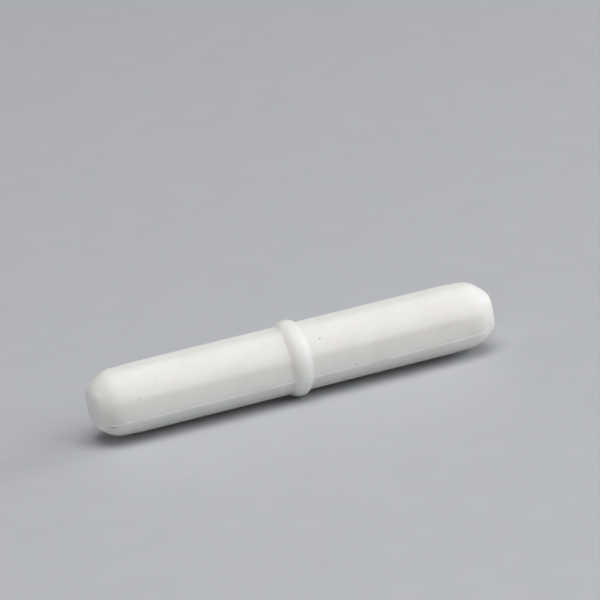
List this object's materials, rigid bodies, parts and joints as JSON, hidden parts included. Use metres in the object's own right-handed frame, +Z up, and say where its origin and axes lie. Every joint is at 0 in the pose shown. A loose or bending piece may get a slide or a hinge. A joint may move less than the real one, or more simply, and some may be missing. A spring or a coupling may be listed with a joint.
{
  "type": "magnetic stir bar",
  "caption": "Octagonal PTFE-coated stir bar with domed, flat-tipped ends and a moulded pivot ring at mid-length; a sealed rod magnet makes it follow a rotating magnetic field.",
  "frame": {"origin": "centre of the bar: on its long axis, in the middle plane of the pivot ring", "axes": "+X along the bar, +Z up, with one flat of the octagon facing straight down (-Z) and one facing -Y"},
  "size_m": [0.05, 0.0092, 0.0092],
  "materials": {
    "moulded_ptfe": "moulded and sintered white PTFE, waxy satin, slightly translucent",
    "alnico": "cast aluminium-nickel-cobalt magnet alloy, centreless ground"
  },
  "bodies": {
    "root": {"ptfe_jacket": "moulded_ptfe", "magnet_core": "alnico"}
  },
  "joints": []
}
